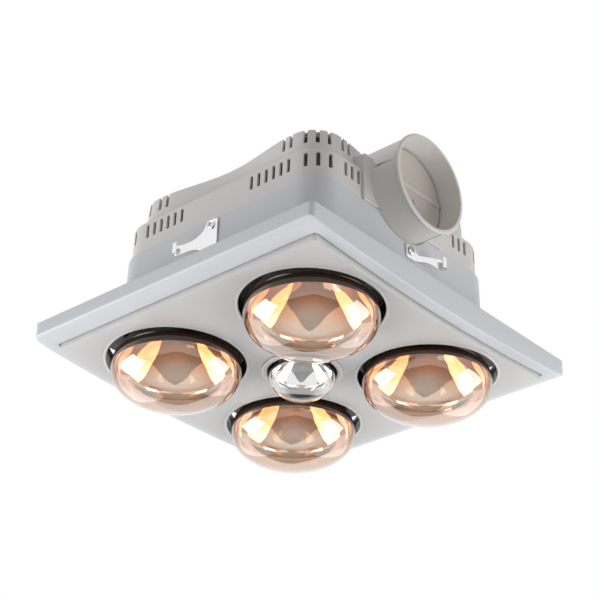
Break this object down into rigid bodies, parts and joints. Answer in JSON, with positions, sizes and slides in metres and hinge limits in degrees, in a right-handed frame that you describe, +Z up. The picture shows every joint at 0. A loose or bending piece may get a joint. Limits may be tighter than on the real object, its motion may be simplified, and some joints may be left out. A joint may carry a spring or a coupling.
{
  "type": "bathroom ceiling heater",
  "caption": "Ceiling heater with reflector heat lamps and a centre light in an arched square fascia, under a stepped slotted housing with an extractor fan and a round side duct outlet.",
  "frame": {"origin": "centre of the fascia rim on the ceiling plane", "axes": "+Z up into the ceiling void, +X towards the duct outlet, +Y along the fascia's arch; the lamps face -Z"},
  "size_m": [0.348, 0.378, 0.2334],
  "materials": {
    "silver_enamel": "satin",
    "satin_plate": "satin",
    "black_enamel": "gloss",
    "amber_glass": "clear tint",
    "clear_glass": "clear",
    "nickel_brass": "plated",
    "white_ceramic": "glazed",
    "zinc_steel": "zinc plated",
    "galvanised_sheet": "galvanised",
    "aluminium_sheet": "bright",
    "cool_grey_plastic": "satin",
    "warm_white_plastic": "satin",
    "duct_grey_plastic": "satin",
    "flap_plastic": "matt",
    "bright_spring_steel": "bright",
    "black_plastic": "matt"
  },
  "bodies": {
    "housing": {"lower_case": "cool_grey_plastic", "upper_case": "warm_white_plastic", "top_cover": "cool_grey_plastic", "heat_shield": "aluminium_sheet", "lamp_chassis": "zinc_steel", "scroll_case": "galvanised_sheet", "scroll_lid": "galvanised_sheet", "motor": "zinc_steel", "outlet_collar": "duct_grey_plastic", "flap_pin": "zinc_steel", "cable_gland": "black_plastic", "terminal_block": "white_ceramic", "capacitor": "black_plastic", "centre_lampholder": "white_ceramic", "centre_lamp_bracket": "zinc_steel", "lampholder_1": "white_ceramic", "lampholder_2": "white_ceramic", "lampholder_3": "white_ceramic", "lampholder_4": "white_ceramic", "clip_screw_1": "zinc_steel", "clip_screw_2": "zinc_steel", "clip_screw_3": "zinc_steel", "clip_screw_4": "zinc_steel"},
    "fascia": {"fascia_frame": "silver_enamel", "fascia_plate": "satin_plate", "lamp_collar_1": "black_enamel", "lamp_collar_2": "black_enamel", "lamp_collar_3": "black_enamel", "lamp_collar_4": "black_enamel", "centre_trim_ring": "satin_plate", "lamp_bezel_1": "satin_plate", "lamp_bezel_2": "satin_plate", "lamp_bezel_3": "satin_plate", "lamp_bezel_4": "satin_plate"},
    "heat_lamp_1": {"heat_bulb_1": "amber_glass", "heat_cap_1": "nickel_brass", "heat_stem_1": "white_ceramic"},
    "heat_lamp_2": {"heat_bulb_2": "amber_glass", "heat_cap_2": "nickel_brass", "heat_stem_2": "white_ceramic"},
    "heat_lamp_3": {"heat_bulb_3": "amber_glass", "heat_cap_3": "nickel_brass", "heat_stem_3": "white_ceramic"},
    "heat_lamp_4": {"heat_bulb_4": "amber_glass", "heat_cap_4": "nickel_brass", "heat_stem_4": "white_ceramic"},
    "centre_lamp": {"centre_bulb": "clear_glass", "centre_cap": "nickel_brass", "centre_stem": "white_ceramic"},
    "fan_wheel": {"impeller": "zinc_steel", "motor_shaft": "zinc_steel"},
    "backdraft_flap": {"flap": "flap_plastic"},
    "clip_1": {"side_clip_1": "bright_spring_steel"},
    "clip_2": {"side_clip_2": "bright_spring_steel"},
    "clip_3": {"side_clip_3": "bright_spring_steel"},
    "clip_4": {"side_clip_4": "bright_spring_steel"}
  },
  "joints": [
    {"name": "fascia_release", "type": "slide", "parent": "housing", "child": "fascia", "axis": [0, 0, -1], "range_m": [0, 0.12]},
    {"name": "heat_lamp_1_turn", "type": "hinge", "parent": "housing", "child": "heat_lamp_1", "pos_m": [0.085, -0.085, 0.067], "axis": [0, 0, -1], "range_deg": [0, 720]},
    {"name": "heat_lamp_2_turn", "type": "hinge", "parent": "housing", "child": "heat_lamp_2", "pos_m": [0.085, 0.085, 0.067], "axis": [0, 0, -1], "range_deg": [0, 720]},
    {"name": "heat_lamp_3_turn", "type": "hinge", "parent": "housing", "child": "heat_lamp_3", "pos_m": [-0.085, 0.085, 0.067], "axis": [0, 0, -1], "range_deg": [0, 720]},
    {"name": "heat_lamp_4_turn", "type": "hinge", "parent": "housing", "child": "heat_lamp_4", "pos_m": [-0.085, -0.085, 0.067], "axis": [0, 0, -1], "range_deg": [0, 720]},
    {"name": "centre_lamp_turn", "type": "hinge", "parent": "housing", "child": "centre_lamp", "pos_m": [0, 0, 0.0175], "axis": [0, 0, -1], "range_deg": [0, 720]},
    {"name": "fan_spin", "type": "hinge", "parent": "housing", "child": "fan_wheel", "pos_m": [-0.008, 0.02, 0.102], "axis": [0, 0, -1], "continuous": true},
    {"name": "flap_swing", "type": "hinge", "parent": "housing", "child": "backdraft_flap", "pos_m": [0.14, -0.01, 0.116], "axis": [0, -1, 0], "range_deg": [0, 50]},
    {"name": "side_clip_1_turn", "type": "hinge", "parent": "housing", "child": "clip_1", "pos_m": [0, -0.13263, 0.07], "axis": [0, -1, 0], "range_deg": [0, 80]},
    {"name": "side_clip_2_turn", "type": "hinge", "parent": "housing", "child": "clip_2", "pos_m": [0.13263, 0, 0.0532], "axis": [-1, 0, 0], "range_deg": [0, 80]},
    {"name": "side_clip_3_turn", "type": "hinge", "parent": "housing", "child": "clip_3", "pos_m": [0, 0.13263, 0.07], "axis": [0, 1, 0], "range_deg": [0, 80]},
    {"name": "side_clip_4_turn", "type": "hinge", "parent": "housing", "child": "clip_4", "pos_m": [-0.13263, 0, 0.07], "axis": [1, 0, 0], "range_deg": [0, 80]}
  ]
}
